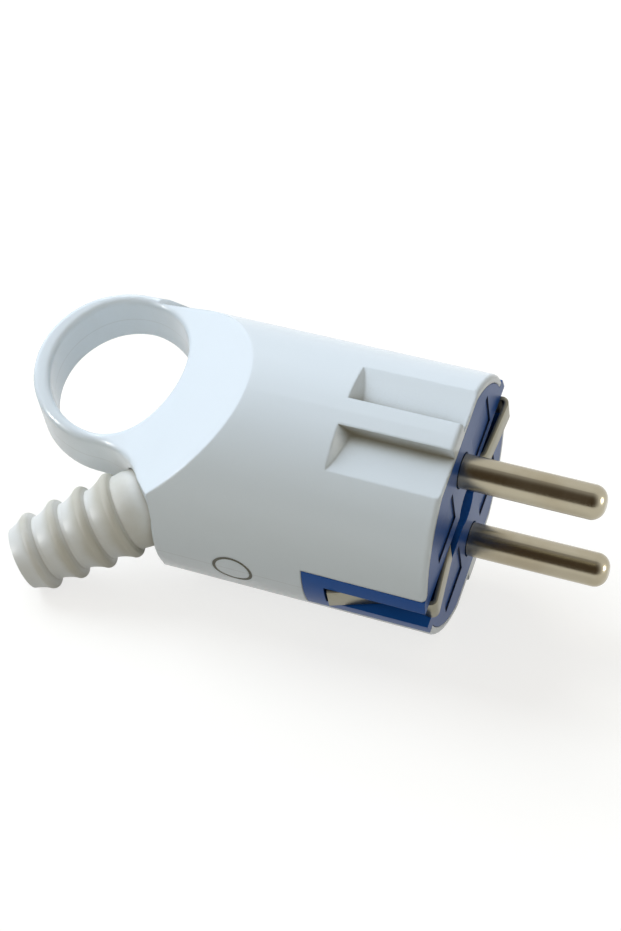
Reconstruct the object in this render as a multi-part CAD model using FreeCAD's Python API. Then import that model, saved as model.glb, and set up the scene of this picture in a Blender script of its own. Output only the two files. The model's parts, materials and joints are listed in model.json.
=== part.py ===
import FreeCAD, Part
import math
import os

from FreeCAD import Vector

# Earthed two-pin mains plug: white shell with a finger ring, blue pin carrier, bent rubber cord boot.
# It is drawn in the plug's own directions: X along the pins, Z from pin to pin, zero on the engagement
# face. At the end it is laid on the table as a loose plug lies, on its body's lowest line and its boot.

# Contact pins
pin_radius = 2.4
pin_spacing = 19.0
pin_length = 19.9
pin_tip_round = 1.9
pin_neck_radius = 2.15
pin_neck_rise = 0.1
pin_hole_gap = 0.2
pin_root_radius = 3.0
pin_root_depth = 1.0
pin_collar_radius = 3.9
pin_collar_thick = 1.4
terminal_radius = 3.4
terminal_length = 9.5
wire_hole_radius = 1.6
wire_hole_depth = 8.0
terminal_screw_setback = 6.3

# Shell
body_radius = 18.28
body_draft = 0.0072
body_rim_round = 0.6
mouth_wall = 1.13
mouth_depth = 8.5
shell_wall = 1.8
cavity_end = 36.3
guide_depth = 2.13
guide_half_width = 8.9
guide_length = 16.15
guide_back_rise = 1.95
rib_half_width = 2.05
rib_side_lean = 0.1
flat_wall = 0.85
badge_radius = 2.9
badge_line = 0.45
badge_depth = 0.25
badge_position = 27.75
post_radius = 3.6
post_front = 27.0

# Sloping shoulders that thin the body down to the finger ring
shoulder_start = 29.8
shoulder_angle = 38.8
shoulder_fillet = 20.0

# Finger ring and its web
ring_half_thick = 4.5
ring_x = -52.45
ring_inset = 12.28
ring_outer_radius = 12.5
ring_edge_round = 0.8
spine_half = 5.1
spine_taper_x = -52.5
hole_across = 10.85
hole_along = 10.0
ring_merge_x = -33.0
web_arc_radius = 10.0
outlet_top_x = -43.2
outlet_foot_x = -40.0
outlet_top_inset = 6.86
outlet_foot_inset = 3.18
rear_x = -39.35
rear_edge_round = 0.7

# Cord outlet and boot
outlet_x = -43.85
outlet_inset = 5.51
outlet_angle = 33.4
outlet_gap = 0.15
boot_droop = 15.3
neck_radius = 5.55
valley_radius = 5.42
crest_rise = 0.95
boot_taper = 0.0488
boot_length = 17.6
crest_first = 2.2
crest_pitch = 4.2
crest_count = 4
crest_steep = 0.95
crest_half = 0.6
boot_end_round = 0.9
boot_bore_radius = 3.5
flange_radius = 7.1
flange_thick = 1.6
flange_depth = 8.5

# Pin carrier
fit_gap = 0.1
plate_thick = 4.0
skirt_wall = 1.2
skirt_depth = 8.0
flat_gap = 0.1
panel_half_width = 4.5
panel_length = 17.5
panel_depth = 4.98
panel_shift = 0.5
face_slot_half = 2.0
face_slot_depth = 1.6
window_end = 14.45
window_front_depth = 3.58
window_low_depth = 4.0
window_rear_depth = 2.28
riser_inner = 6.2
riser_outer = 8.4
pocket_inner_y = 4.2
pocket_outer_y = 11.6
pocket_inner_z = 4.0
pocket_outer_z = 10.4
pocket_depth = 0.25
tongue_inset = 6.68
tongue_thick = 1.8
tongue_half = 8.9
tongue_end = 26.0
boss_radius = 3.3
boss_end = 6.3

# Earth contacts
strip_thick = 0.6
strip_half = 1.8
strip_foot_y = 3.9
strip_riser_y = 7.0
strip_foot_x = -5.8
strip_edge_inset = 2.2
strip_low_x = -5.4
strip_low_inset = 3.05
strip_end_x = -14.0
strip_end_inset = 0.2
far_face_inner = 0.1
far_face_outer = 0.75
near_face_inner = -0.55
near_face_outer = 0.35
bridge_thick = 0.7
bridge_half = 3.0
bridge_short = 8.6
block_gap = 0.2
block_inner = 6.5
block_depth = 5.5

# Screws, the brass insert and the cord clamp
screw_radius = 1.5
head_radius = 2.5
head_thick = 1.8
head_slot_width = 0.8
head_slot_depth = 0.8
thread_gap = 0.02
head_sink = 1.5
head_gap = 0.15
screw_well_radius = 3.2
assembly_end = 32.0
insert_radius = 2.4
insert_length = 6.0
clamp_front = 19.5
clamp_width = 5.5
clamp_cord_lift = 3.1
clamp_cord_radius = 3.0
clamp_wall = 1.3
clamp_boss_height = 2.4
clamp_ear_half = 9.0
clamp_ear_thick = 1.8
clamp_screw_z = 6.7
clamp_boss_radius = 2.2

# Places that follow from the sizes above
guide_floor = body_radius - guide_depth
ring_y = body_radius - ring_inset
outlet_top_y = outlet_top_inset - body_radius
outlet_foot_y = outlet_foot_inset - body_radius
outlet_y = outlet_inset - body_radius
panel_inner = body_radius - panel_depth
tongue_inner = body_radius - tongue_inset
tongue_base = tongue_inner + tongue_thick
clamp_ear_y = clamp_boss_height - tongue_inner
clamp_cord_y = clamp_cord_lift - tongue_inner
clamp_x = -clamp_front - clamp_width / 2
strip_edge_y = body_radius - strip_edge_inset
terminal_screw_x = -plate_thick - pin_collar_thick - terminal_screw_setback
bridge_front = strip_foot_x - strip_thick
block_back = bridge_front - bridge_thick - block_depth
block_outer = tongue_inner - block_gap
block_middle_y = -(block_inner + block_outer) / 2

OUT = "parts"
X = Vector(1, 0, 0)
Y = Vector(0, 1, 0)
Z = Vector(0, 0, 1)
FAR = 90.0


def at(x, y=0.0, z=0.0):
    return Vector(x, y, z)


def box(x0, x1, y0, y1, z0, z1):
    return Part.makeBox(x1 - x0, y1 - y0, z1 - z0, at(x0, y0, z0))


def rod(radius, start, end):
    run = end.sub(start)
    return Part.makeCylinder(radius, run.Length, start, run)


def rod_x(radius, x0, x1, y=0.0, z=0.0):
    return rod(radius, at(x0, y, z), at(x1, y, z))


def line(a, b):
    return Part.LineSegment(a, b).toShape()


def arc(a, b, c):
    return Part.Arc(a, b, c).toShape()


def face_of(edges):
    return Part.Face(Part.Wire(edges))


def prism(points, run):
    return Part.Face(Part.makePolygon(points + [points[0]])).extrude(run)


def flipped(shape, normal):
    return shape.mirror(at(0), normal)


def half_turned(shape):
    """The same, half a turn about the plug's axis."""
    return flipped(flipped(shape, Y), Z)


def fused(shapes):
    return shapes[0].multiFuse(shapes[1:]).removeSplitter()


def body_at(x):
    return body_radius + body_draft * x


def cone_x(x0, x1, inset=0.0):
    """The drafted round body between two stations, thinner by inset."""
    return Part.makeCone(body_at(x0) - inset, body_at(x1) - inset, x1 - x0, at(x0), X)


def screw(start, end):
    """Slotted screw whose head rests at start and whose shank runs to end."""
    run = end.sub(start)
    run.normalize()
    across = X if abs(run.x) < 0.5 else Y
    top = start.sub(at(run.x * head_thick, run.y * head_thick, run.z * head_thick))
    shape = rod(screw_radius, start, end).fuse(rod(head_radius, top, start))
    rim = [e for e in shape.Edges if e.Closed and abs(e.CenterOfMass.sub(top).dot(run)) < 0.01]
    shape = shape.makeFillet(head_thick * 0.3, rim)
    slot = Part.makeBox(2 * FAR, head_slot_width, 2 * head_slot_depth)
    slot.translate(at(-FAR, -head_slot_width / 2, -head_slot_depth))
    turn = FreeCAD.Rotation(across, run.cross(across), run, "ZXY")
    slot.Placement = FreeCAD.Placement(top, turn).multiply(slot.Placement)
    return shape.cut(slot).removeSplitter()


# Cord outlet directions: along the shell's bore, and drooping behind the pivot
PIVOT = at(outlet_x, outlet_y)
FLAT = at(-math.cos(math.radians(outlet_angle)), -math.sin(math.radians(outlet_angle)))
DROOP_COS = math.cos(math.radians(boot_droop))
DROOP = at(FLAT.x * DROOP_COS, FLAT.y * DROOP_COS, -math.sin(math.radians(boot_droop)))


def down_bore(distance):
    """Point on the shell's cord bore, distance forward of the pivot."""
    return at(outlet_x - FLAT.x * distance, outlet_y - FLAT.y * distance)


def down_boot(distance):
    """Point on the drooping boot's axis, distance behind the pivot."""
    return PIVOT.add(at(DROOP.x * distance, DROOP.y * distance, DROOP.z * distance))


def shoulder_block(inset):
    """Everything between the two sloping shoulders, brought inward by inset."""
    slope = math.radians(shoulder_angle)
    shift = inset / math.sin(slope)
    foot = -shoulder_start - (body_at(-shoulder_start) - ring_half_thick) / math.tan(slope) + shift
    top = body_radius + 2.0
    high = foot + (top - ring_half_thick) / math.tan(slope)
    reach = shoulder_fillet * math.tan(slope / 2)
    middle_x = foot - reach + shoulder_fillet * math.sin(slope / 2)
    middle_z = ring_half_thick + shoulder_fillet * (1 - math.cos(slope / 2))
    run = [
        at(FAR / 2, 0, top),
        at(high, 0, top),
        at(foot + reach * math.cos(slope), 0, ring_half_thick + reach * math.sin(slope)),
        at(middle_x, 0, middle_z),
        at(foot - reach, 0, ring_half_thick),
        at(-FAR, 0, ring_half_thick),
    ]
    low = [at(p.x, 0, -p.z) for p in run]
    edges = [
        line(run[0], run[1]),
        line(run[1], run[2]),
        arc(run[2], run[3], run[4]),
        line(run[4], run[5]),
        line(run[5], low[5]),
        line(low[5], low[4]),
        arc(low[4], low[3], low[2]),
        line(low[2], low[1]),
        line(low[1], low[0]),
        line(low[0], run[0]),
    ]
    face = face_of(edges)
    face.translate(at(0, -FAR / 2, 0))
    return face.extrude(at(0, FAR, 0))


def web_arc(ring_centre, outlet_top):
    """Where the web's hollow curve leaves the ring, and its middle: it runs on smoothly to the cord outlet."""
    apart = outlet_top.sub(ring_centre)
    reach = ring_outer_radius + web_arc_radius
    along = (apart.Length**2 + reach**2 - web_arc_radius**2) / (2 * apart.Length)
    aside = math.sqrt(reach**2 - along**2)
    turn = math.atan2(apart.y, apart.x) - math.atan2(aside, along)
    centre = ring_centre.add(at(reach * math.cos(turn), reach * math.sin(turn)))
    under = ring_centre.add(at(ring_outer_radius * math.cos(turn), ring_outer_radius * math.sin(turn)))
    first = math.atan2(under.y - centre.y, under.x - centre.x)
    last = math.atan2(outlet_top.y - centre.y, outlet_top.x - centre.x)
    half = (first + last) / 2
    return under, centre.add(at(web_arc_radius * math.cos(half), web_arc_radius * math.sin(half)))


def plan_block(front_x, half_height):
    """Plan outline of ring, web and body's rear, from front_x backward."""
    merge = at(ring_merge_x, body_at(ring_merge_x))
    away = merge.sub(at(ring_x, ring_y))
    turn = math.atan2(away.y, away.x) + math.acos(ring_outer_radius / away.Length)
    top = at(ring_x + ring_outer_radius * math.cos(turn), ring_y + ring_outer_radius * math.sin(turn))
    side = at(ring_merge_x, FAR / 2)
    back = at(ring_x - ring_outer_radius, ring_y)
    outlet_top = at(outlet_top_x, outlet_top_y)
    outlet_foot = at(outlet_foot_x, outlet_foot_y)
    under, bend = web_arc(at(ring_x, ring_y), outlet_top)
    heel = at(rear_x, outlet_foot_y - 2 * (rear_x - outlet_foot_x))
    corner = at(rear_x, -FAR / 2)
    edges = [
        line(side, merge),
        line(merge, top),
        arc(top, back, under),
        arc(under, bend, outlet_top),
        line(outlet_top, outlet_foot),
        line(outlet_foot, heel),
        line(heel, corner),
        line(corner, at(front_x, -FAR / 2)),
        line(at(front_x, -FAR / 2), at(front_x, FAR / 2)),
        line(at(front_x, FAR / 2), side),
    ]
    face = face_of(edges)
    face.translate(at(0, 0, -half_height))
    return face.extrude(at(0, 0, 2 * half_height))


def finger_hole():
    """Oval finger hole, longer across the plug, from four arcs that run smoothly into each other."""
    shift = (hole_across - hole_along) / (2 - math.sqrt(2))
    reach = (hole_along + shift) * math.sqrt(0.5)
    x = reach - shift
    edges = [
        arc(at(x, -reach), at(hole_along, 0), at(x, reach)),
        arc(at(x, reach), at(0, hole_across), at(-x, reach)),
        arc(at(-x, reach), at(-hole_along, 0), at(-x, -reach)),
        arc(at(-x, -reach), at(0, -hole_across), at(x, -reach)),
    ]
    face = face_of(edges)
    face.translate(at(ring_x, ring_y, -FAR / 2))
    return face.extrude(at(0, 0, FAR))


def guide_recess():
    """Guide recess on the upper side, open to the front; its rear wall is a cone, and the middle rib stays."""
    top = body_radius + 3.0
    steep = guide_depth / guide_back_rise
    behind = -2 * guide_length
    ahead = -guide_length + guide_back_rise + 1.0
    rear = Part.makeCone(body_radius + guide_length * steep, guide_floor - steep, ahead - behind, at(behind), X)
    cut = box(behind, 1.0, -guide_half_width, guide_half_width, guide_floor, top).cut(rear)
    base = rib_half_width + rib_side_lean
    rib = prism(
        [
            at(-FAR, -base, guide_floor),
            at(-FAR, base, guide_floor),
            at(-FAR, rib_half_width, top),
            at(-FAR, -rib_half_width, top),
        ],
        at(2 * FAR, 0, 0),
    )
    return cut.cut(rib)


def flats(half):
    return box(-FAR, FAR, -FAR, FAR, -half, half)


def make_cavity():
    """Inside of the shell: mouth for the carrier, and the room behind it."""
    half = guide_floor - flat_wall
    mouth = cone_x(-mouth_depth, 1.0, mouth_wall)
    room = cone_x(-cavity_end, -mouth_depth + 0.5, shell_wall)
    room = room.common(shoulder_block(shell_wall + 0.6))
    post = rod_x(post_radius, -FAR, -post_front)
    seat = rod(flange_radius + outlet_gap, down_bore(flange_depth), down_bore(flange_depth + flange_thick + 1.5))
    return mouth.fuse(room.cut(post)).fuse(seat).common(flats(half))


def make_housing():
    """White shell with finger ring, shoulders, guide recesses, mouth and cavity."""
    body = cone_x(-FAR * 0.8, 0.0)
    body = body.makeFillet(body_rim_round, [e for e in body.Edges if e.BoundBox.XMin > -0.01])
    spine = prism(
        [
            at(-FAR * 0.8, 0, spine_half),
            at(spine_taper_x, 0, spine_half),
            at(ring_merge_x, 0, 0),
            at(spine_taper_x, 0, -spine_half),
            at(-FAR * 0.8, 0, -spine_half),
        ],
        at(0, FAR / 2, 0),
    ).translated(at(0, ring_y - ring_outer_radius - 2.0, 0))
    plan = plan_block(1.0, FAR / 2)
    shell = body.fuse(spine).common(plan).common(shoulder_block(0.0))
    shell = shell.cut(finger_hole()).removeSplitter()
    rear = [e for e in shell.Edges if is_rear_edge(e)]
    shell = shell.makeFillet(rear_edge_round, rear)
    shell = shell.makeFillet(ring_edge_round, edges_on(shell, finger_hole()))
    shell = shell.makeFillet(ring_edge_round, edges_on(shell, plan))
    shell = shell.cut(guide_recess()).cut(flipped(guide_recess(), Z))
    shell = shell.cut(make_cavity())
    slot_x = panel_length + fit_gap
    slot_z = panel_half_width + fit_gap
    slot = box(-slot_x, 1.0, 0.0, FAR, panel_shift - slot_z, panel_shift + slot_z)
    slot = slot.cut(rod_x(panel_inner, -FAR, FAR))
    shell = shell.cut(slot).cut(half_turned(slot))
    shell = shell.cut(rod(neck_radius + outlet_gap, down_bore(-FAR / 6), down_bore(flange_depth + 1.0)))
    shell = shell.cut(rod_x(insert_radius, -post_front - insert_length, 0.0))
    shell = shell.cut(rod_x(screw_radius + outlet_gap, -assembly_end - 1.0, 0.0))
    return shell.cut(badge()).removeSplitter()


def is_rear_edge(edge):
    """The long round edge at the body's rear, beside the cord outlet."""
    bound = edge.BoundBox
    return abs(bound.XMin - rear_x) + abs(bound.XMax - rear_x) < 0.01 and edge.Curve.TypeId == "Part::GeomCircle"


def edges_on(shell, tool):
    """Edges where a tool's wall meets the ring's faces or the shoulders, behind the cord outlet."""
    found = []
    for edge in shell.Edges:
        bound = edge.BoundBox
        middle = Part.Vertex(edge.valueAt((edge.FirstParameter + edge.LastParameter) / 2))
        lies = max(middle.distToShape(block.Shells[0])[0] for block in (tool, shoulder_block(0.0)))
        if lies < 0.002 and bound.XLength > 0.01 and bound.XMax < outlet_top_x + 1.0:
            found.append(edge)
    return found


def badge():
    """Shallow plain ring cut into the near side, where a mark stood."""
    centre = at(-badge_position, -FAR, 0)
    tool = rod(badge_radius, centre, at(-badge_position, 0, 0))
    tool = tool.cut(rod(badge_radius - badge_line, centre, at(-badge_position, 0, 0)))
    return tool.cut(cone_x(-FAR / 2, 0.0, badge_depth))


def make_earth_clip(face_inner, face_outer):
    """Bent contact strip: foot on the bridge, up through the face, over the edge, down the window."""
    t = strip_thick
    low_y = body_radius - strip_low_inset
    end_y = body_radius - strip_end_inset
    outer = [
        at(strip_foot_x, strip_foot_y),
        at(strip_foot_x, strip_riser_y),
        at(face_inner - 0.5, strip_riser_y),
        at(face_inner, strip_riser_y + 0.5),
        at(face_outer, strip_edge_y - 0.6),
        at(face_outer - 0.6, strip_edge_y),
        at(strip_low_x, low_y),
        at(strip_end_x, end_y),
    ]
    inner = [
        at(strip_end_x, end_y - t),
        at(strip_low_x, low_y - t),
        at(face_outer - 0.6 - t * 0.6, strip_edge_y - t),
        at(face_outer - t, strip_edge_y - 0.6 - t * 0.6),
        at(face_inner - t, strip_riser_y + 0.5 + t * 0.6),
        at(face_inner - 0.5 - t * 0.6, strip_riser_y + t),
        at(strip_foot_x - t, strip_riser_y + t),
        at(strip_foot_x - t, strip_foot_y),
    ]
    band = prism(outer + inner, at(0, 0, 2 * strip_half))
    return band.translated(at(0, 0, panel_shift - strip_half))


def side_panel():
    """Flush side panel of the carrier on the +Y side, still without its window."""
    low = panel_shift - panel_half_width
    block = box(-panel_length, 0.0, panel_inner, FAR, low, panel_shift + panel_half_width)
    return block.common(cone_x(-panel_length - 1.0, 1.0))


def window():
    """Room for the earth contact on the +Y side: face slot, notch over the edge and side window."""
    side = [
        at(1.0, 0),
        at(-face_slot_depth, 0),
        at(-face_slot_depth, body_radius - window_front_depth),
        at(strip_low_x, body_radius - window_low_depth),
        at(-window_end, body_radius - window_rear_depth),
        at(-window_end, FAR),
        at(1.0, FAR),
    ]
    low = panel_shift - face_slot_half
    tool = prism(side, at(0, 0, 2 * face_slot_half)).translated(at(0, 0, low))
    riser = box(-plate_thick - 1.0, 1.0, riser_inner, riser_outer, low, low + 2 * face_slot_half)
    return tool.fuse(riser)


def face_pocket(y_side, z_side):
    """Shallow bare pocket in one quarter of the face."""
    pocket = box(-pocket_depth, 1.0, pocket_inner_y, pocket_outer_y, pocket_inner_z, pocket_outer_z)
    if y_side < 0:
        pocket = flipped(pocket, Y)
    return flipped(pocket, Z) if z_side < 0 else pocket


def make_carrier():
    """Blue insert: face, skirt, panels, pin holes, centre boss and the cord clamp's tongue."""
    outer = cone_x(-skirt_depth, 0.0, mouth_wall + fit_gap)
    half = guide_floor - flat_wall - flat_gap
    inner = rod_x(body_radius - mouth_wall - fit_gap - skirt_wall, -FAR, -plate_thick)
    disc = outer.common(flats(half)).cut(inner.common(flats(half - skirt_wall)))
    tongue = box(-tongue_end, -plate_thick + 0.5, -tongue_base, -tongue_inner, -tongue_half, tongue_half)
    pieces = [disc, side_panel(), half_turned(side_panel()), tongue]
    pieces.append(rod_x(boss_radius, -boss_end, -plate_thick + 0.5))
    for side in (-1, 1):
        foot = at(clamp_x, -tongue_inner - tongue_thick / 2, side * clamp_screw_z)
        pieces.append(rod(clamp_boss_radius, foot, at(clamp_x, clamp_ear_y, side * clamp_screw_z)))
    carrier = fused(pieces)
    carrier = carrier.cut(window()).cut(half_turned(window()))
    for y_side in (-1, 1):
        for z_side in (-1, 1):
            carrier = carrier.cut(face_pocket(y_side, z_side))
    carrier = carrier.cut(rod_x(screw_well_radius, -head_sink - head_thick, 1.0))
    carrier = carrier.cut(rod_x(screw_radius + head_gap, -FAR, 1.0))
    for side in (-1, 1):
        pin_z = side * pin_spacing / 2
        carrier = carrier.cut(rod_x(pin_radius + pin_hole_gap, -plate_thick, 1.0, 0.0, pin_z))
        carrier = carrier.cut(rod_x(pin_root_radius, -FAR / 10, -pin_root_depth, 0.0, pin_z))
        hole = at(clamp_x, -FAR / 2, side * clamp_screw_z)
        carrier = carrier.cut(rod(screw_radius + thread_gap, hole, at(clamp_x, 0, side * clamp_screw_z)))
    return carrier.removeSplitter()


def make_pin(side):
    """Round contact pin with its collar behind the face and its wire terminal."""
    z = side * pin_spacing / 2
    shank = rod_x(pin_radius, pin_neck_rise, pin_length, 0.0, z)
    tip = [e for e in shank.Edges if e.Closed and abs(e.CenterOfMass.x - pin_length) < 0.01]
    shank = shank.makeFillet(pin_tip_round, tip)
    collar_back = -plate_thick - pin_collar_thick
    collar = rod_x(pin_collar_radius, collar_back, -plate_thick, 0.0, z)
    back = collar_back - terminal_length
    terminal = rod_x(terminal_radius, back, collar_back, 0.0, z)
    root = rod_x(pin_root_radius, -plate_thick, -pin_root_depth, 0.0, z)
    neck = rod_x(pin_neck_radius, -pin_root_depth, pin_neck_rise, 0.0, z)
    pin = fused([shank, neck, root, collar, terminal])
    pin = pin.cut(rod_x(wire_hole_radius, back, back + wire_hole_depth, 0.0, z))
    hole = at(terminal_screw_x, 0, z)
    return pin.cut(rod(screw_radius + thread_gap, hole, at(terminal_screw_x, 0, side * FAR)))


def make_terminal_screw(side):
    """Screw that grips the wire in a pin's terminal, from the outer side."""
    z = side * pin_spacing / 2
    head_z = side * (pin_spacing / 2 + terminal_radius)
    return screw(at(terminal_screw_x, 0, head_z), at(terminal_screw_x, 0, z + side * wire_hole_radius))


def make_bridge():
    """Earth strap under the face, joining both contacts, with its terminal block on the cord's side."""
    plate_back = bridge_front - bridge_thick
    strap = box(plate_back, bridge_front, -block_outer, bridge_short, -bridge_half, bridge_half)
    block = box(block_back, bridge_front, -block_outer, -block_inner, -bridge_half, bridge_half)
    strap = strap.fuse(block).removeSplitter()
    middle_x = block_back + block_depth / 2
    wire = rod(wire_hole_radius, at(middle_x, block_middle_y, -FAR), at(middle_x, block_middle_y, FAR))
    strap = strap.cut(wire).cut(rod_x(screw_radius + thread_gap, block_back, middle_x, block_middle_y))
    return strap.cut(rod_x(screw_radius + head_gap, -FAR, 1.0)).removeSplitter()


def make_earth_screw():
    tip_x = block_back + block_depth / 2 - wire_hole_radius
    return screw(at(block_back, block_middle_y), at(tip_x, block_middle_y))


def make_assembly_screw():
    return screw(at(-head_sink - head_thick), at(-assembly_end))


def make_insert():
    """Brass insert in the shell's post that takes the assembly screw."""
    back = -post_front - insert_length
    body = rod_x(insert_radius, back, -post_front)
    return body.cut(rod_x(screw_radius + thread_gap, back - 1.0, 0.0))


def make_clamp():
    """Cord clamp: an arch over the cord with an ear at each side."""
    back = -clamp_front - clamp_width
    ear_top = clamp_ear_y + clamp_ear_thick
    outer = rod_x(clamp_cord_radius + clamp_wall, back, -clamp_front, clamp_cord_y)
    bar = box(back, -clamp_front, clamp_ear_y, ear_top, -clamp_ear_half, clamp_ear_half)
    arch = outer.common(box(-FAR, 0, clamp_ear_y, FAR, -FAR, FAR)).fuse(bar)
    arch = arch.cut(rod_x(clamp_cord_radius, -FAR, 0.0, clamp_cord_y))
    for side in (-1, 1):
        low = at(clamp_x, -FAR / 2, side * clamp_screw_z)
        arch = arch.cut(rod(screw_radius + head_gap, low, at(clamp_x, 0, side * clamp_screw_z)))
    return arch.removeSplitter()


def make_clamp_screw(side):
    z = side * clamp_screw_z
    tip_y = 0.3 - tongue_base
    return screw(at(clamp_x, clamp_ear_y + clamp_ear_thick, z), at(clamp_x, tip_y, z))


def boot_profile():
    """Half section of the drooping part: four crests, each steep toward the shell, then the plain end."""
    edges = []
    start = at(0, valley_radius)
    point = start
    for index in range(crest_count):
        s = crest_first + index * crest_pitch
        low = valley_radius - boot_taper * s
        high = low + crest_rise
        foot = at(s - crest_steep, low)
        edges.append(line(point, foot))
        shoulder = at(s - crest_half, high - 0.3)
        edges.append(line(foot, shoulder))
        past = at(s + crest_half, high - 0.25)
        edges.append(arc(shoulder, at(s, high), past))
        next_low = at(s + crest_pitch - crest_steep - 0.5, low - boot_taper * crest_pitch)
        edges.append(arc(past, at(s + crest_half + 0.9, low + 0.22), next_low))
        point = next_low
    end_low = point.y
    shoulder = at(boot_length - boot_end_round, end_low)
    edges.append(line(point, shoulder))
    mid = boot_end_round * (1 - math.sqrt(0.5))
    rim = at(boot_length, end_low - boot_end_round)
    edges.append(arc(shoulder, at(boot_length - mid, end_low - mid), rim))
    edges.append(line(rim, at(boot_length, 0)))
    edges.append(line(at(boot_length, 0), at(0, 0)))
    edges.append(line(at(0, 0), start))
    return face_of(edges)


def make_boot():
    """Rubber boot: flange inside the shell, neck, elbow and the drooping ribbed part, bored through."""
    outside = boot_profile().revolve(at(0), X, 360)
    outside.Placement = FreeCAD.Placement(PIVOT, FreeCAD.Rotation(X, DROOP))
    elbow = Part.makeSphere(neck_radius, PIVOT)
    neck = rod(neck_radius, PIVOT, down_bore(flange_depth + flange_thick))
    flange = rod(flange_radius, down_bore(flange_depth), down_bore(flange_depth + flange_thick))
    boot = fused([outside, elbow, neck, flange])
    bore = rod(boot_bore_radius, down_boot(boot_length + 1.0), PIVOT)
    bore = bore.fuse(Part.makeSphere(boot_bore_radius, PIVOT))
    bore = bore.fuse(rod(boot_bore_radius, PIVOT, down_bore(flange_depth + flange_thick + 1.0)))
    return boot.cut(bore).removeSplitter()


def laid(shape, roll):
    """A copy turned as the plug lies: rolled, and pitched so that the drafted body's lowest line is level."""
    turned = shape.copy()
    turned.rotate(at(0), X, roll)
    turned.rotate(at(0), Y, -math.degrees(math.atan(body_draft)))
    return turned


def rest_roll(boot):
    """Roll at which the boot first touches the table that the body lies on."""
    table = -body_radius * math.cos(math.atan(body_draft))
    low = 0.0
    high = 60.0
    for _ in range(20):
        middle = (low + high) / 2
        if laid(boot, middle).optimalBoundingBox(False, False).ZMin > table:
            low = middle
        else:
            high = middle
    return low


def make_all():
    return {
        "housing": make_housing(),
        "pin_carrier": make_carrier(),
        "upper_pin": make_pin(1),
        "lower_pin": make_pin(-1),
        "upper_terminal_screw": make_terminal_screw(1),
        "lower_terminal_screw": make_terminal_screw(-1),
        "far_earth_clip": make_earth_clip(far_face_inner, far_face_outer),
        "near_earth_clip": half_turned(make_earth_clip(near_face_inner, near_face_outer)),
        "earth_bridge": make_bridge(),
        "earth_screw": make_earth_screw(),
        "assembly_screw": make_assembly_screw(),
        "assembly_insert": make_insert(),
        "cord_clamp": make_clamp(),
        "upper_clamp_screw": make_clamp_screw(1),
        "lower_clamp_screw": make_clamp_screw(-1),
        "cord_boot": make_boot(),
    }


def lie_down(shapes):
    """Every piece in the resting pose, the whole standing on zero and centred."""
    roll = rest_roll(shapes["cord_boot"])
    resting = {name: laid(shape, roll) for name, shape in shapes.items()}
    bound = FreeCAD.BoundBox()
    for shape in resting.values():
        bound.add(shape.optimalBoundingBox(False, False))
    move = at(-(bound.XMin + bound.XMax) / 2, -(bound.YMin + bound.YMax) / 2, -bound.ZMin)
    for shape in resting.values():
        shape.translate(move)
    print("roll", round(roll, 3), "move", [round(value, 4) for value in move])
    return resting


if __name__ == "__main__":
    os.makedirs(OUT, exist_ok=True)
    pieces = make_all()
    for name, shape in pieces.items():
        print(name, shape.isValid(), len(shape.Solids), round(shape.Volume, 1))
    for name, shape in lie_down(pieces).items():
        shape.exportStep(os.path.join(OUT, name + ".step"))
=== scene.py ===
import json
import logging
import math
from dataclasses import dataclass
from enum import Enum
from typing import Any

import bmesh
import bpy
from mathutils import Euler, Matrix, Vector


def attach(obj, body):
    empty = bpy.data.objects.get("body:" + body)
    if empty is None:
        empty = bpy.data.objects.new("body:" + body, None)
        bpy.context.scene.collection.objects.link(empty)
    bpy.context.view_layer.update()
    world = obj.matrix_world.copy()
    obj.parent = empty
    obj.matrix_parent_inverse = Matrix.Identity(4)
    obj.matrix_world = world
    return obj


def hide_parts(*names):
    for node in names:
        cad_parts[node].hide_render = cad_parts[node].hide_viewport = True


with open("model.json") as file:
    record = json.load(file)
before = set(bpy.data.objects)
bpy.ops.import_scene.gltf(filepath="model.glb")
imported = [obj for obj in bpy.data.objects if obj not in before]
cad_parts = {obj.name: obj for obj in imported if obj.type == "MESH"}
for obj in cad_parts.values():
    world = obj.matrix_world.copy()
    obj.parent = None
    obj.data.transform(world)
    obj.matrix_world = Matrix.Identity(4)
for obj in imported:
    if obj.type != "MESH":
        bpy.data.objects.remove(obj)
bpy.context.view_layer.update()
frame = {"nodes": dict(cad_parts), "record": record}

MM = 0.001
LOG = logging.getLogger("plug")

Colour = tuple[float, float, float]
Socket = bpy.types.NodeSocket


@dataclass(frozen=True)
class PlugSpace:
    """The plug's own directions: X along the pins, Z from pin to pin, zero in the middle of the face."""

    matrix: Matrix

    @classmethod
    def from_record(cls, record: dict[str, Any]) -> "PlugSpace":
        """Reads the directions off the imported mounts.

        Args:
            record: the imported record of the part.

        Returns:
            The plug's space, with millimetres turned into the frame's metres.
        """
        mounts = {mount["name"]: mount for mount in record["mounts"]}
        upper = Vector(mounts["upper_pin"]["pos_m"])
        lower = Vector(mounts["lower_pin"]["pos_m"])
        along = Vector(mounts["upper_pin"]["axis"]).normalized()
        middle = (upper + lower) / 2
        face = Vector(mounts["engagement_face"]["pos_m"])
        origin = middle - along * (middle - face).dot(along)
        up = (upper - lower).normalized()
        side = up.cross(along).normalized()
        turn = Matrix((along, side, up)).transposed()
        return cls(Matrix.Translation(origin) @ turn.to_4x4() @ Matrix.Scale(MM, 4))

    def point(self, x: float, y: float = 0.0, z: float = 0.0) -> Vector:
        """A plug point, given in millimetres, in the frame."""
        return self.matrix @ Vector((x, y, z))

    def turn(self) -> Matrix:
        """The plug's directions as a plain rotation."""
        return self.matrix.to_3x3().normalized()


class Slot(Enum):
    """Names of two of the record's material slots."""

    EARTH = "earth_metal"
    BOOT = "boot"


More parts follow.
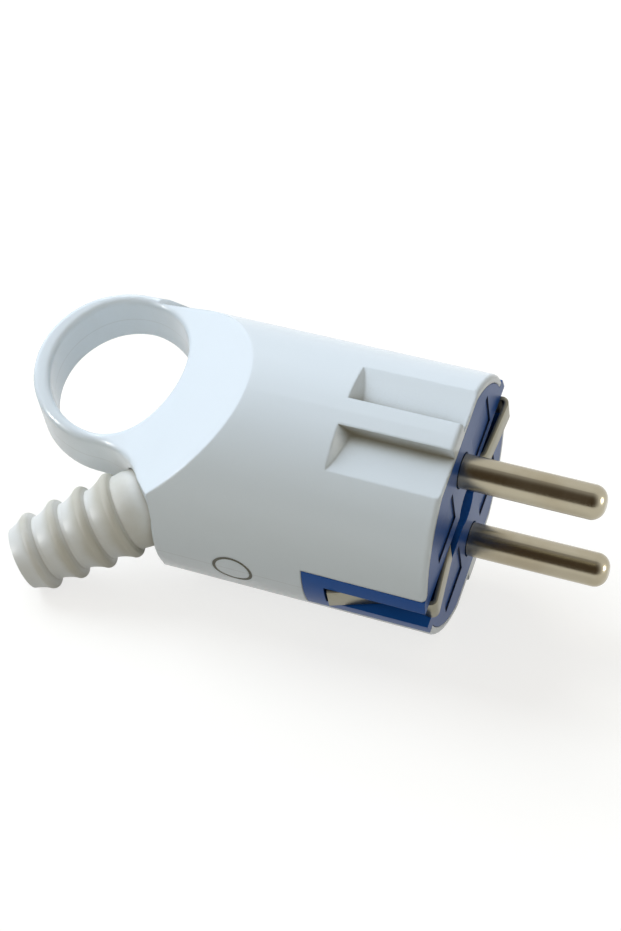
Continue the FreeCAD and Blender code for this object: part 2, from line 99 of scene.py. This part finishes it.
class Nodes:
    """A node tree while it is wired up."""

    def __init__(self, tree: bpy.types.NodeTree) -> None:
        """Takes the tree that the nodes go into."""
        self.tree = tree

    def node(self, kind: str, values: dict[Any, Any] | None = None, **settings: Any) -> bpy.types.Node:
        """Adds a node.

        Args:
            kind: the node's type name, without its ShaderNode start.
            values: what its sockets hold, by name or number; a socket of another node is joined.
            settings: its other settings.

        Returns:
            The new node.
        """
        made = self.tree.nodes.new("ShaderNode" + kind)
        for name, value in settings.items():
            setattr(made, name, value)
        for key, value in (values or {}).items():
            self.feed(made, key, value)
        return made

    def feed(self, node: bpy.types.Node, key: Any, value: Any) -> None:
        """Sets a socket, or joins it where the value is another node's socket.

        Args:
            node: the node.
            key: the socket's name or number.
            value: what it gets.
        """
        if isinstance(value, bpy.types.NodeSocket):
            self.tree.links.new(value, node.inputs[key])
        else:
            node.inputs[key].default_value = value

    def ramp(self, value: Socket, low: float, high: float, first: float, last: float) -> Socket:
        """Maps low..high smoothly onto first..last."""
        values = {0: value, 1: low, 2: high, 3: first, 4: last}
        return self.node("MapRange", values, interpolation_type="SMOOTHSTEP").outputs[0]

    def blend(self, share: Socket, first: Any, second: Any) -> Socket:
        """Mixes two colours, or colour sockets, by a share.

        Args:
            share: how much of the second one there is.
            first: a colour or a socket.
            second: a colour or a socket.

        Returns:
            The mixed colour's socket.
        """
        made = self.node("Mix", data_type="RGBA")
        self.feed(made, 0, share)
        for key, value in ((6, first), (7, second)):
            self.feed(made, key, (*value, 1.0) if isinstance(value, tuple) else value)
        return made.outputs[2]

    def seen_directly(self) -> Socket:
        """One for rays from the camera, and for those that gloss or glass sends on.

        Returns:
            The socket that tells.
        """
        path = self.node("LightPath").outputs
        share = path["Is Camera Ray"]
        for name in ("Is Glossy Ray", "Is Transmission Ray"):
            share = self.node("Math", {0: share, 1: path[name]}, operation="MAXIMUM").outputs[0]
        return share


class Wiring(Nodes):
    """One node material while it is wired up."""

    def __init__(self, name: str) -> None:
        """Starts a material that has only its output and its principled shader."""
        self.material = bpy.data.materials.new(name)
        self.material.use_nodes = True
        super().__init__(self.material.node_tree)
        self.shader = self.tree.nodes["Principled BSDF"]

    def coordinates(self) -> Socket:
        """Object coordinates."""
        return self.node("TexCoord").outputs["Object"]

    def seen_from(self, origin: Vector, turn: Matrix, scale: Vector = Vector((1, 1, 1))) -> Socket:
        """Coordinates counted from a point and along turned directions.

        Args:
            origin: where they are zero, in the frame.
            turn: their directions, as the columns of a rotation.
            scale: how each direction is stretched.

        Returns:
            The socket that gives them.
        """
        shift = self.node("VectorMath", {0: self.coordinates(), 1: -origin}, operation="ADD").outputs[0]
        joined = self.node("CombineXYZ")
        for index in range(3):
            values = {0: shift, 1: turn.col[index] * scale[index]}
            along = self.node("VectorMath", values, operation="DOT_PRODUCT")
            self.feed(joined, index, along.outputs["Value"])
        return joined.outputs[0]

    def noise(self, vector: Socket, scale: float, detail: float = 3.0) -> Socket:
        """Soft noise between 0 and 1."""
        values = {"Vector": vector, "Scale": scale, "Detail": detail, "Roughness": 0.55}
        return self.node("TexNoise", values).outputs[0]

    def bump(self, height: Socket, depth: float, normal: Socket | None = None) -> Socket:
        """Turns a height between 0 and 1 into a relief.

        Args:
            height: the height.
            depth: how deep the relief is, in metres.
            normal: the normal that it adds to, if not the plain one.

        Returns:
            The new normal's socket.
        """
        made = self.node("Bump", {"Strength": 1.0, "Distance": depth, "Height": height})
        if normal is not None:
            self.feed(made, "Normal", normal)
        return made.outputs[0]

    def crevices(self, reach: float, alone_only: bool = False) -> Socket:
        """How open the surface is, from 0 in a tight corner to 1.

        Args:
            reach: how far it looks, in metres.
            alone_only: whether only the piece itself shuts it in.

        Returns:
            The socket that tells.
        """
        values = {"Distance": reach}
        return self.node("AmbientOcclusion", values, samples=8, only_local=alone_only).outputs["AO"]

    def finish(self, **sockets: Any) -> bpy.types.Material:
        """Sets or joins the principled shader's sockets.

        Args:
            sockets: values by socket name, with _ for a space.

        Returns:
            The finished material.
        """
        for name, value in sockets.items():
            self.feed(self.shader, name.replace("_", " "), value)
        return self.material


@dataclass(frozen=True)
class MouldedPlastic:
    """Moulded plastic: faint clouds, orange peel, soft edges, painted shade in corners, maybe a parting line
    with a faint dark stain.
    """

    name: str
    colour: Colour
    shade: Colour
    grime_and_shade: Colour
    roughness: float
    gloss: float
    peel: float
    edge: float
    reach: float
    parting_depth: float = 0.0
    parting_half: float = 0.00012
    stain_half: float = 0.0002
    parting_grime: float = 0.12
    cloud_scale: float = 25.0
    wear_scale: float = 70.0
    peel_scale: float = 900.0

    def make(self, space: PlugSpace) -> bpy.types.Material:
        """Wires the material.

        Args:
            space: the plug's space, for the parting line.

        Returns:
            The material.
        """
        work = Wiring(self.name)
        place = work.coordinates()
        colour = work.blend(work.noise(place, self.cloud_scale, 0.0), self.colour, self.shade)
        wear = work.noise(place, self.wear_scale, 2.0)
        rough = work.ramp(wear, 0.2, 0.8, self.roughness * 0.92, self.roughness * 1.1)
        # painted shade: corners and recesses that the piece itself hems in are darkened towards the dark
        # colour
        corner_shade = work.ramp(work.crevices(self.reach, True), 0.5, 0.88, 1.0, 0.0)
        colour = work.blend(corner_shade, colour, self.grime_and_shade)
        soft = work.node("Bevel", {"Radius": self.edge}, samples=4).outputs[0]
        normal = work.bump(work.noise(place, self.peel_scale, 2.0), self.peel, soft)
        if self.parting_depth:
            turned = work.seen_from(space.point(0.0), space.turn())
            across = work.node("SeparateXYZ", {0: turned}).outputs[2]
            away = work.node("Math", {0: across}, operation="ABSOLUTE").outputs[0]
            normal = work.bump(work.ramp(away, 0.0, self.parting_half, 0.0, 1.0), self.parting_depth, normal)
            # the same dark colour also marks a faint stain along the parting line
            stain = work.ramp(away, 0.0, self.stain_half, self.parting_grime, 0.0)
            colour = work.blend(stain, colour, self.grime_and_shade)
        gloss = {"IOR": 1.5, "Specular_IOR_Level": self.gloss}
        return work.finish(Base_Color=colour, Roughness=rough, Normal=normal, **gloss)


@dataclass(frozen=True)
class TurnedMetal:
    """Plated metal with fine marks around or along the plug's pin direction."""

    name: str
    colour: Colour
    stain: Colour
    roughness: float
    stretch: tuple[float, float, float]
    marks: float
    stain_scale: float = 160.0

    def make(self, space: PlugSpace) -> bpy.types.Material:
        """Wires the material.

        Args:
            space: the plug's space, whose X the marks run around or along.

        Returns:
            The material.
        """
        work = Wiring(self.name)
        turned = work.seen_from(space.point(0.0), space.turn(), Vector(self.stretch))
        lines = work.noise(turned, 1.0, 3.0)
        cloud = work.noise(work.coordinates(), self.stain_scale, 4.0)
        colour = work.blend(work.ramp(cloud, 0.4, 0.75, 0.0, 0.8), self.colour, self.stain)
        rough = work.ramp(lines, 0.2, 0.8, self.roughness * 0.9, self.roughness * 1.1)
        normal = work.bump(lines, self.marks)
        return work.finish(Base_Color=colour, Roughness=rough, Normal=normal, Metallic=1.0)


@dataclass(frozen=True)
class BootRubber:
    """White rubber, warmer on its ribs and painted lighter in its grooves as a sheen, with painted shade at
    the ribs' feet.
    """

    name: str
    crest: Colour
    groove_sheen: Colour
    grime_and_shade: Colour
    low_radius: float
    high_radius: float
    reach: float
    unevenness: float = 0.0012

    def make(self, origin: Vector, turn: Matrix) -> bpy.types.Material:
        """Wires the material.

        Args:
            origin: a point on the boot's axis.
            turn: directions whose X runs along the boot.

        Returns:
            The material.
        """
        work = Wiring(self.name)
        place = work.node("SeparateXYZ", {0: work.seen_from(origin, turn)}).outputs
        flat = work.node("CombineXYZ", {1: place[1], 2: place[2]}).outputs[0]
        radius = work.node("VectorMath", {0: flat}, operation="LENGTH").outputs["Value"]
        cloud = work.noise(work.coordinates(), 170.0, 5.0)
        values = {0: cloud, 1: self.unevenness, 2: radius}
        uneven = work.node("Math", values, operation="MULTIPLY_ADD").outputs[0]
        middle = self.unevenness / 2
        # painted sheen: the grooves, below the ribs' radius, get a lighter colour that stands in for the
        # sheen on them
        share = work.ramp(uneven, self.low_radius + middle, self.high_radius + middle, 1.0, 0.0)
        # painted shade: the rubber darkens at the feet of its ribs, where they hem the surface in
        corner_shade = work.ramp(work.crevices(self.reach), 0.35, 0.85, 0.8, 0.0)
        colour = work.blend(corner_shade, work.blend(share, self.crest, self.groove_sheen), self.grime_and_shade)
        grain = work.noise(work.coordinates(), 1100.0, 4.0)
        rough = work.ramp(share, 0.0, 1.0, 0.55, 0.42)
        return work.finish(Base_Color=colour, Roughness=rough, Normal=work.bump(grain, 0.00002), IOR=1.48)


@dataclass(frozen=True)
class Ink:
    """Dull dark ink, worn thin in places."""

    name: str
    colour: Colour
    worn: Colour

    def make(self) -> bpy.types.Material:
        """Wires the material.

        Returns:
            The material.
        """
        work = Wiring(self.name)
        wear = work.ramp(work.noise(work.coordinates(), 1500.0, 4.0), 0.5, 0.72, 0.0, 0.8)
        colour = work.blend(wear, self.colour, self.worn)
        return work.finish(Base_Color=colour, Roughness=0.55, Normal=work.bump(wear, 0.00002))


def dress(node: str, material: bpy.types.Material) -> None:
    """Gives a CAD node its finish.

    Args:
        node: the node's name.
        material: what its surface gets.
    """
    thing = frame["nodes"][node]
    if not thing.material_slots:
        thing.data.materials.append(material)
    for slot in thing.material_slots:
        slot.material = material
    LOG.info("dressed %s in %s", node, material.name)


def alone(thing: bpy.types.Object) -> None:
    """Makes an object the only one selected, and active.

    Args:
        thing: the object.
    """
    bpy.ops.object.select_all(action="DESELECT")
    thing.select_set(True)
    bpy.context.view_layer.objects.active = thing


def pick_edge(thing: bpy.types.Object, place: Vector, slack: float = 0.01) -> None:
    """In edit mode, selects the edge whose middle is at a place, and nothing else.

    Args:
        thing: the object in edit mode.
        place: where the edge's middle is.
        slack: how far off it may be.
    """
    bpy.ops.mesh.select_all(action="DESELECT")
    bpy.ops.mesh.select_mode(type="EDGE")
    mesh = bmesh.from_edit_mesh(thing.data)
    for edge in mesh.edges:
        first, last = edge.verts
        edge.select_set(((first.co + last.co) / 2 - place).length < slack)
    mesh.select_flush_mode()
    bmesh.update_edit_mesh(thing.data)


def settle(thing: bpy.types.Object, space: PlugSpace,
           material: bpy.types.Material) -> bpy.types.Object:
    """Brings a piece modelled in plug millimetres into the frame and hands it over.

    Args:
        thing: the piece, in plug millimetres.
        space: the plug's space.
        material: its finish.

    Returns:
        The same piece, its place now in its mesh.
    """
    thing.matrix_world = space.matrix
    alone(thing)
    bpy.ops.object.transform_apply(location=True, rotation=True, scale=True)
    bpy.ops.object.mode_set(mode="EDIT")
    bpy.ops.mesh.select_all(action="SELECT")
    bpy.ops.mesh.remove_doubles(threshold=1e-6)
    bpy.ops.mesh.normals_make_consistent(inside=False)
    bpy.ops.object.mode_set(mode="OBJECT")
    bpy.ops.object.shade_smooth_by_angle(angle=math.radians(35))
    thing.data.materials.clear()
    thing.data.materials.append(material)
    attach(thing, "root")
    LOG.info("made %s: %d faces", thing.name, len(thing.data.polygons))
    return thing


def modify(thing: bpy.types.Object, kind: str, **settings: Any) -> None:
    """Adds a modifier and applies it.

    Args:
        thing: the object.
        kind: the modifier's type.
        settings: its settings.
    """
    alone(thing)
    made = thing.modifiers.new(kind.title(), kind)
    for name, value in settings.items():
        setattr(made, name, value)
    bpy.ops.object.modifier_apply(modifier=made.name)


@dataclass
class Shell:
    """The white housing with its finger ring, and the plain ring let into its near side."""

    space: PlugSpace
    mark_position: float = 27.75
    mark_radius: float = 2.9
    mark_line: float = 0.45
    mark_sink: float = 0.1
    mark_thickness: float = 0.12
    body_radius: float = 18.28
    body_draft: float = 0.0072
    start_gap: float = 3.0
    # the shell's dark colour is painted shade in its corners and a faint stain on its parting line
    finish: MouldedPlastic = MouldedPlastic(
        name="shell_gloss", colour=(0.81, 0.885, 0.94), shade=(0.795, 0.87, 0.925), grime_and_shade=(0.26, 0.24, 0.18),
        roughness=0.235, gloss=0.42, peel=0.000004, edge=0.0005, reach=0.006, parting_depth=0.00001)
    ink: Ink = Ink(name="mark_ink", colour=(0.09, 0.088, 0.06), worn=(0.30, 0.30, 0.26))

    def build(self) -> None:
        """Dresses the housing and lays the mark's ring in its groove."""
        dress("housing", self.finish.make(self.space))
        self.mark_ring()

    def mark_ring(self) -> bpy.types.Object:
        """A flat ring that follows the round body, let into the groove that stands in the shell.

        Returns:
            The ring.
        """
        inner = self.mark_radius - self.mark_line
        bpy.ops.object.select_all(action="DESELECT")
        bpy.ops.mesh.primitive_circle_add(vertices=72, radius=inner, rotation=(math.pi / 2, 0, 0))
        ring = bpy.context.object
        ring.name = "mark_ring"
        bpy.ops.object.transform_apply(location=True, rotation=True, scale=True)
        bpy.ops.object.mode_set(mode="EDIT")
        bpy.ops.mesh.select_all(action="SELECT")
        for radius in (inner + self.mark_line / 2, self.mark_radius):
            share = radius / (radius - self.mark_line / 2)
            bpy.ops.mesh.extrude_edges_move()
            bpy.ops.transform.resize(value=(share, share, share))
        bpy.ops.mesh.select_all(action="SELECT")
        bpy.ops.transform.translate(value=(-self.mark_position, -self.body_radius - self.start_gap, 0.0))
        bpy.ops.object.mode_set(mode="OBJECT")
        cylinder = self.round_body()
        modify(ring, "SHRINKWRAP", target=cylinder, wrap_method="PROJECT", use_project_x=False,
               use_project_y=True, use_project_z=False, use_positive_direction=True,
               use_negative_direction=True)
        bpy.data.objects.remove(cylinder)
        modify(ring, "SOLIDIFY", thickness=self.mark_thickness, offset=0.0)
        return settle(ring, self.space, self.ink.make())

    def round_body(self) -> bpy.types.Object:
        """A smooth helper the shape of the groove's floor, for the ring to lie on.

        Returns:
            The helper, in plug millimetres.
        """
        radius = self.body_radius - self.mark_position * self.body_draft - self.mark_sink
        bpy.ops.object.select_all(action="DESELECT")
        place = (-self.mark_position, 0, 0)
        bpy.ops.mesh.primitive_cylinder_add(vertices=256, radius=radius, depth=20.0, location=place,
                                            rotation=(0, math.pi / 2, 0))
        helper = bpy.context.object
        bpy.ops.object.transform_apply(location=True, rotation=True, scale=True)
        return helper


@dataclass
class Carrier:
    """The blue insert that holds the pins."""

    space: PlugSpace
    # the carrier's dark colour is painted shade in its corners and recesses
    finish: MouldedPlastic = MouldedPlastic(
        name="carrier_gloss", colour=(0.008, 0.085, 0.36), shade=(0.011, 0.10, 0.40),
        grime_and_shade=(0.002, 0.008, 0.03), roughness=0.34, gloss=0.14, peel=0.00001, edge=0.00015, reach=0.004)

    def build(self) -> None:
        """Dresses the insert and the cord clamp, which is moulded of the same plastic."""
        material = self.finish.make(self.space)
        dress("pin_carrier", material)
        dress("cord_clamp", material)


@dataclass
class Pins:
    """The two round nickelled pins."""

    space: PlugSpace
    finish: TurnedMetal = TurnedMetal(
        name="pin_nickel", colour=(0.44, 0.40, 0.30), stain=(0.38, 0.33, 0.23), roughness=0.24,
        stretch=(5000.0, 60.0, 60.0), marks=0.0000004)

    def build(self) -> None:
        """Dresses both pins."""
        material = self.finish.make(self.space)
        for name in ("upper_pin", "lower_pin"):
            dress(name, material)


@dataclass
class EarthContacts:
    """The bent contact strips, one on each side, from the face over the edge and down the window."""

    space: PlugSpace
    half_width: float = 1.8
    off_middle: float = 0.5
    thickness: float = 0.6
    foot: tuple[tuple[float, float], ...] = ((-5.8, 3.9), (-5.8, 7.0))
    window: tuple[tuple[float, float], ...] = ((-5.4, 15.23), (-14.0, 18.08))
    far_face: tuple[tuple[float, float], ...] = ((0.1, 7.0), (0.75, 16.08))
    near_face: tuple[tuple[float, float], ...] = ((-0.55, 7.0), (0.35, 16.08))
    bend: float = 0.55
    edge: float = 0.09
    finish: TurnedMetal = TurnedMetal(
        name="earth_nickel", colour=(0.30, 0.285, 0.22), stain=(0.22, 0.205, 0.14), roughness=0.36,
        stretch=(300.0, 300.0, 5000.0), marks=0.000002)

    def build(self) -> None:
        """Makes both strips, which differ in how far they stand out of the face."""
        material = self.finish.make(self.space)
        for name, side, face, node in (("far_strip", 1, self.far_face, "far_earth_clip"),
                                       ("near_strip", -1, self.near_face, "near_earth_clip")):
            strip = self.strip(name, side, self.foot + face + self.window)
            settle(strip, self.space, material)
            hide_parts(node)
        dress("earth_bridge", material)

    def strip(self, name: str, side: int, line: tuple[tuple[float, float], ...]) -> bpy.types.Object:
        """A flat plane drawn out bend by bend, then rounded in its bends and given its thickness.

        Args:
            name: the piece's name.
            side: 1 on the far side, -1 on the near one.
            line: its outer line, from its foot to its end in the window.

        Returns:
            The strip, in plug millimetres.
        """
        points = [Vector((x, side * y, side * self.off_middle)) for x, y in line]
        first = points[1] - points[0]
        bpy.ops.object.select_all(action="DESELECT")
        bpy.ops.mesh.primitive_plane_add(size=1.0)
        thing = bpy.context.object
        thing.name = name
        thing.scale = (first.length, 2 * self.half_width, 1.0)
        thing.rotation_euler = Euler((math.pi / 2, 0.0, math.atan2(first.y, first.x)))
        thing.location = (points[0] + points[1]) / 2
        bpy.ops.object.transform_apply(location=True, rotation=True, scale=True)
        bpy.ops.object.mode_set(mode="EDIT")
        for here, there in zip(points[1:], points[2:]):
            pick_edge(thing, here)
            bpy.ops.mesh.extrude_edges_move(TRANSFORM_OT_translate={"value": there - here})
        for here in points[1:-1]:
            pick_edge(thing, here)
            bpy.ops.mesh.bevel(offset=self.bend, segments=5, affect="EDGES")
        bpy.ops.object.mode_set(mode="OBJECT")
        modify(thing, "SOLIDIFY", thickness=self.thickness, offset=float(side), use_even_offset=True)
        modify(thing, "BEVEL", width=self.edge, segments=2, limit_method="ANGLE",
               angle_limit=math.radians(50))
        return thing


@dataclass
class InnerWorks:
    """The screws and the brass insert, which show only through gaps."""

    space: PlugSpace
    steel: TurnedMetal = TurnedMetal(
        name="screw_zinc", colour=(0.62, 0.62, 0.60), stain=(0.50, 0.49, 0.46), roughness=0.3,
        stretch=(700.0, 700.0, 700.0), marks=0.000004)
    brass: TurnedMetal = TurnedMetal(
        name="insert_brass", colour=(0.72, 0.55, 0.25), stain=(0.58, 0.42, 0.18), roughness=0.3,
        stretch=(6000.0, 60.0, 60.0), marks=0.000003)

    def build(self) -> None:
        """Dresses the screws and the brass insert."""
        steel = self.steel.make(self.space)
        for name in ("upper_terminal_screw", "lower_terminal_screw", "earth_screw", "assembly_screw",
                     "upper_clamp_screw", "lower_clamp_screw"):
            dress(name, steel)
        dress("assembly_insert", self.brass.make(self.space))


@dataclass
class CordBoot:
    """The ribbed rubber boot that droops out of the cord outlet."""

    space: PlugSpace
    pivot: tuple[float, float] = (-43.85, -12.77)
    outlet_angle: float = 33.4
    droop: float = 15.3
    # the boot's dark colour is painted shade at its ribs' feet, and its groove colour is a painted sheen
    finish: BootRubber = BootRubber(
        name="boot_rubber", crest=(0.60, 0.585, 0.51), groove_sheen=(0.77, 0.78, 0.76), grime_and_shade=(0.30, 0.26, 0.18),
        low_radius=0.0050, high_radius=0.0060, reach=0.0020)

    def axis(self) -> Vector:
        """The way the boot points.

        Returns:
            A direction of length one, in plug directions.
        """
        flat = math.radians(self.outlet_angle)
        down = math.radians(self.droop)
        return Vector((-math.cos(flat) * math.cos(down), -math.sin(flat) * math.cos(down), -math.sin(down)))

    def build(self) -> None:
        """Dresses the boot."""
        turn = self.space.turn()
        along = turn @ self.axis()
        side = along.cross(Vector((0, 0, 1))).normalized()
        own = Matrix((along, side, along.cross(side))).transposed()
        dress("cord_boot", self.finish.make(self.space.point(*self.pivot), own))


@dataclass(frozen=True)
class Lamp:
    """A square soft lamp that faces the plug; gloss may show it, and it may light dull surfaces."""

    name: str
    place: tuple[float, float, float]
    side: float
    power: float
    colour: Colour = (1.0, 1.0, 1.0)
    mirrored: bool = True
    lit: bool = True
    aim: tuple[float, float, float] = (0.0, 0.0, 0.015)

    def hang(self) -> None:
        """Puts the lamp into the scene."""
        data = bpy.data.lights.new(self.name, "AREA")
        data.size = self.side
        data.energy = self.power
        data.color = self.colour
        thing = bpy.data.objects.new(self.name, data)
        bpy.context.scene.collection.objects.link(thing)
        thing.visible_glossy = self.mirrored
        thing.visible_diffuse = self.lit
        thing.location = self.place
        thing.rotation_euler = (Vector(self.aim) - thing.location).to_track_quat("-Z", "Y").to_euler()


@dataclass
class Studio:
    """Pale floor, plain soft light and the camera at the photograph's angle."""

    space: PlugSpace
    camera_place: tuple[float, float, float] = (77.2538, -181.1353, 349.1120)
    camera_turn: tuple[float, float, float] = (30.1573, 5.9107, 18.8023)
    lens: float = 113.49
    sensor: float = 36.0
    nearest: float = 0.01
    floor_side: float = 6.0
    floor_shade: float = 0.36
    floor_tint: Colour = (1.0, 0.965, 0.88)
    floor_cloud: Colour = (0.98, 0.95, 0.87)
    floor_glow: float = 0.74
    room_level: float = 0.31
    room_colour: Colour = (1.0, 0.965, 0.86)
    shade_side: tuple[float, float, float] = (0.0, -0.86, 0.51)
    shade_colour: Colour = (0.09, 0.065, 0.04)
    lamps: tuple[Lamp, ...] = (
        Lamp("key", (-1.60, 0.46, 1.64), 1.6, 41.0, (0.88, 0.98, 1.12), mirrored=False),
        Lamp("fill", (0.05, -0.55, 0.22), 0.4, 0.5, (1.0, 0.98, 0.92), mirrored=False),
        Lamp("spark", (-0.28, 0.36, 0.40), 0.12, 0.5),
        Lamp("rim", (-0.66, -0.42, 0.28), 0.16, 5.0, lit=False),
        Lamp("tip", (0.62, 0.12, 0.12), 0.18, 1.3, (1.0, 0.97, 0.88), lit=False),
    )

    def build(self) -> None:
        """Sets the camera, the floor, the room and the lamps."""
        self.camera()
        self.floor()
        self.room()
        for lamp in self.lamps:
            lamp.hang()

    def camera(self) -> None:
        """Puts the camera where the photograph was taken from."""
        data = bpy.data.cameras.new("camera")
        data.lens = self.lens
        data.sensor_width = self.sensor
        data.clip_start = self.nearest
        thing = bpy.data.objects.new("camera", data)
        bpy.context.scene.collection.objects.link(thing)
        turn = self.space.turn() @ Euler([math.radians(angle) for angle in self.camera_turn]).to_matrix()
        thing.matrix_world = Matrix.Translation(self.space.point(*self.camera_place)) @ turn.to_4x4()
        bpy.context.scene.camera = thing

    def floor(self) -> None:
        """A wide pale floor that keeps the plug's soft shadow."""
        bpy.ops.object.select_all(action="DESELECT")
        bpy.ops.mesh.primitive_plane_add(size=self.floor_side)
        thing = bpy.context.object
        thing.name = "floor"
        work = Wiring("floor_white")
        tints = (self.floor_tint, self.floor_cloud)
        shades = [tuple(part * self.floor_shade for part in tint) for tint in tints]
        colour = work.blend(work.noise(work.coordinates(), 3.0, 2.0), *shades)
        white = (1.0, 1.0, 1.0, 1.0)
        work.finish(Base_Color=colour, Roughness=1.0, Emission_Color=white, Specular_IOR_Level=0.0)
        values = {0: work.seen_directly(), 1: 1.0 - self.floor_shade * self.floor_glow}
        glow = work.node("Math", values, operation="MULTIPLY").outputs[0]
        work.finish(Emission_Strength=glow)
        thing.data.materials.append(work.material)

    def room(self) -> None:
        """Plain light all round; gloss and metal mirror it white, and darker on the camera's side."""
        world = bpy.data.worlds.new("room")
        bpy.context.scene.world = world
        world.use_nodes = True
        work = Nodes(world.node_tree)
        plain = work.tree.nodes["Background"]
        work.feed(plain, 0, (*self.room_colour, 1.0))
        work.feed(plain, 1, self.room_level)
        values = {0: work.node("TexCoord").outputs["Generated"], 1: Vector(self.shade_side).normalized()}
        toward = work.node("VectorMath", values, operation="DOT_PRODUCT").outputs["Value"]
        tint = work.blend(work.ramp(toward, 0.15, 0.95, 0.0, 1.0), (1.0, 1.0, 1.0), self.shade_colour)
        seen = work.node("Background", {0: tint}).outputs[0]
        mix = work.node("MixShader", {0: work.seen_directly(), 1: plain.outputs[0], 2: seen}).outputs[0]
        work.feed(work.tree.nodes["World Output"], 0, mix)


def main() -> None:
    """Builds the plug's looks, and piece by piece."""
    logging.basicConfig(level=logging.INFO, format="%(message)s")
    bpy.context.scene.view_settings.view_transform = "Standard"
    space = PlugSpace.from_record(frame["record"])
    for part in (Studio(space), Shell(space), Carrier(space), Pins(space), EarthContacts(space),
                 InnerWorks(space), CordBoot(space)):
        part.build()
        LOG.info("%s done", type(part).__name__)


if __name__ == "__main__":
    main()
